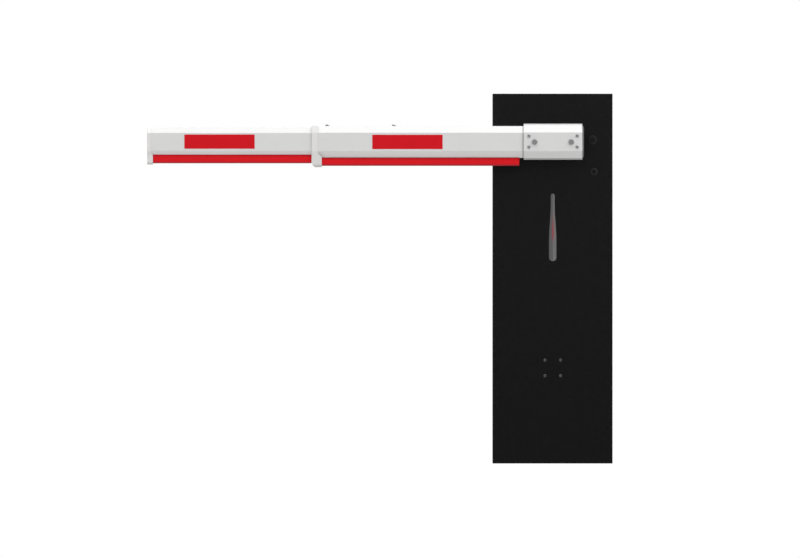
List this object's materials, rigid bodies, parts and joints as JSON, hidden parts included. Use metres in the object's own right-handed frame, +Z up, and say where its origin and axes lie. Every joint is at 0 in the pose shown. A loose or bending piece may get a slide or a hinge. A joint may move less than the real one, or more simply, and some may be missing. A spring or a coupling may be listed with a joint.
{
  "type": "parking barrier gate",
  "caption": "Automatic parking barrier gate: steel cabinet with a spring-balanced planetary gear drive and a telescopic octagonal boom.",
  "frame": {"origin": "centre of the cabinet footprint on the ground, where the four anchor holes are centred", "axes": "+Z up, +X away from the boom tip (the boom points to -X), -Y the boom side of the cabinet and +Y the service door side"},
  "size_m": [1.2822, 0.3861, 1.0194],
  "materials": {
    "black_powder_coat": "fine-texture black powder coat on folded sheet steel",
    "white_powder_coat": "satin white powder coat on extruded aluminium",
    "white_casting": "satin white powder coat on cast aluminium",
    "white_plastic": "moulded white nylon",
    "red_rubber": "soft matt red edge profile",
    "red_reflective": "red retroreflective film",
    "smoked_lens": "translucent grey polycarbonate",
    "zinc_steel": "bright zinc plate",
    "black_oxide_steel": "black oxide",
    "dark_stainless": "dull stainless steel",
    "chassis_steel": "grey primer on laser-cut plate",
    "ground_steel": "ground and oiled",
    "bearing_steel": "polished bearing steel",
    "spring_steel": "oil-tempered wire",
    "cast_aluminium": "machined casting",
    "cast_iron": "sand-cast and part machined",
    "black_plastic": "black nylon",
    "black_rubber": "black EPDM",
    "grey_plastic": "light grey enclosure plastic",
    "circuit_board": "green solder mask with fitted parts",
    "copper_winding": "varnished copper and laminated steel",
    "lock_metal": "nickel-plated zinc",
    "dark_grey_plastic": "moulded grey nylon"
  },
  "bodies": {
    "cabinet": {"cabinet_shell": "black_powder_coat", "top_cover": "black_powder_coat", "base_frame": "chassis_steel", "door_gasket": "black_rubber", "indicator_lens": "smoked_lens", "indicator_board": "circuit_board", "front_panel_screws": "dark_stainless", "blanking_plug": "black_plastic", "key_switch_body": "black_plastic", "shaft_seal": "black_rubber", "bearing_plate": "chassis_steel", "drive_plate": "chassis_steel", "plate_spacers": "zinc_steel", "bearing_housings": "cast_iron", "flange_bolts": "zinc_steel", "bearing_outer_races": "bearing_steel", "limit_buffers": "black_rubber", "spring_anchor_bolts": "zinc_steel", "balance_springs": "spring_steel", "ring_gear": "cast_aluminium", "motor_can": "cast_aluminium", "motor_end_bell": "cast_aluminium", "motor_stator": "copper_winding", "controller_case": "grey_plastic", "controller_board": "circuit_board"},
    "boom": {"main_shaft": "ground_steel", "shaft_keys": "ground_steel", "bearing_inner_races": "bearing_steel", "rocker_lever": "cast_iron", "rocker_pins": "ground_steel", "arm_hub": "black_powder_coat", "hub_bolt": "zinc_steel", "clamp_back": "white_casting", "clamp_front": "white_casting", "clamp_bolts": "dark_stainless", "clamp_screws": "dark_stainless", "clamp_end_cap": "dark_grey_plastic", "boom_outer_tube": "white_powder_coat", "boom_outer_strip": "red_rubber", "boom_outer_reflectors": "red_reflective", "boom_collar": "white_plastic", "telescope_screws": "dark_stainless"},
    "boom_extension": {"boom_inner_tube": "white_powder_coat", "boom_inner_strip": "red_rubber", "boom_inner_reflectors": "red_reflective", "boom_tip_cap": "white_plastic", "boom_guide_shoe": "white_plastic"},
    "rod": {"connecting_rod": "zinc_steel"},
    "hangers": {"spring_hangers": "zinc_steel"},
    "crank": {"planet_carrier": "ground_steel", "crank_arm": "cast_iron"},
    "planet_1": {"planet_gear_1": "ground_steel"},
    "planet_2": {"planet_gear_2": "ground_steel"},
    "planet_3": {"planet_gear_3": "ground_steel"},
    "rotor": {"motor_rotor": "ground_steel", "sun_pinion": "ground_steel"},
    "door": {"rear_door": "black_powder_coat", "door_lock_body": "lock_metal"},
    "door_lock": {"door_lock_cam": "lock_metal"},
    "key_plug": {"key_switch_plug": "black_oxide_steel"}
  },
  "joints": [
    {"name": "boom_swing", "type": "hinge", "parent": "cabinet", "child": "boom", "pos_m": [0, -0.1, 0.886], "axis": [0, 1, 0], "range_deg": [0, 90], "deforming": ["balance_springs"]},
    {"name": "boom_extend", "type": "slide", "parent": "boom", "child": "boom_extension", "axis": [-1, 0, 0], "range_m": [0, 0.31]},
    {"name": "rod_pivot", "type": "hinge", "parent": "boom", "child": "rod", "pos_m": [-0.0495, -0.08, 0.8365], "axis": [0, 1, 0], "range_deg": [-91, 1]},
    {"name": "hanger_pivot", "type": "hinge", "parent": "boom", "child": "hangers", "pos_m": [0.0495, -0.095, 0.9355], "axis": [0, 1, 0], "range_deg": [-91, 1]},
    {"name": "crank_turn", "type": "hinge", "parent": "cabinet", "child": "crank", "pos_m": [0, -0.06, 0.636], "axis": [0, 1, 0], "range_deg": [-1, 91]},
    {"name": "planet_1_spin", "type": "hinge", "parent": "crank", "child": "planet_1", "pos_m": [0, -0.017, 0.663], "axis": [0, 1, 0], "range_deg": [-230, 5]},
    {"name": "planet_2_spin", "type": "hinge", "parent": "crank", "child": "planet_2", "pos_m": [-0.02338, -0.017, 0.6225], "axis": [0, 1, 0], "range_deg": [-230, 5]},
    {"name": "planet_3_spin", "type": "hinge", "parent": "crank", "child": "planet_3", "pos_m": [0.02338, -0.017, 0.6225], "axis": [0, 1, 0], "range_deg": [-230, 5]},
    {"name": "motor_spin", "type": "hinge", "parent": "cabinet", "child": "rotor", "pos_m": [0, 0.05, 0.636], "axis": [0, 1, 0], "range_deg": [-6, 546]},
    {"name": "door_swing", "type": "hinge", "parent": "cabinet", "child": "door", "pos_m": [-0.152, 0.139, 0.5], "axis": [0, 0, 1], "range_deg": [0, 110]},
    {"name": "door_lock_turn", "type": "hinge", "parent": "door", "child": "door_lock", "pos_m": [0.125, 0.13, 0.51], "axis": [0, -1, 0], "range_deg": [0, 90]},
    {"name": "key_switch_turn", "type": "hinge", "parent": "cabinet", "child": "key_plug", "pos_m": [0.114, -0.135, 0.8044], "axis": [0, 1, 0], "range_deg": [-45, 45]}
  ],
  "couplings": [
    {"joint": "rod_pivot", "follows": "boom_swing", "ratio": -1},
    {"joint": "hanger_pivot", "follows": "boom_swing", "ratio": -1},
    {"joint": "crank_turn", "follows": "boom_swing", "ratio": 1},
    {"joint": "planet_1_spin", "follows": "boom_swing", "ratio": -2.5},
    {"joint": "planet_2_spin", "follows": "boom_swing", "ratio": -2.5},
    {"joint": "planet_3_spin", "follows": "boom_swing", "ratio": -2.5},
    {"joint": "motor_spin", "follows": "boom_swing", "ratio": 6}
  ]
}
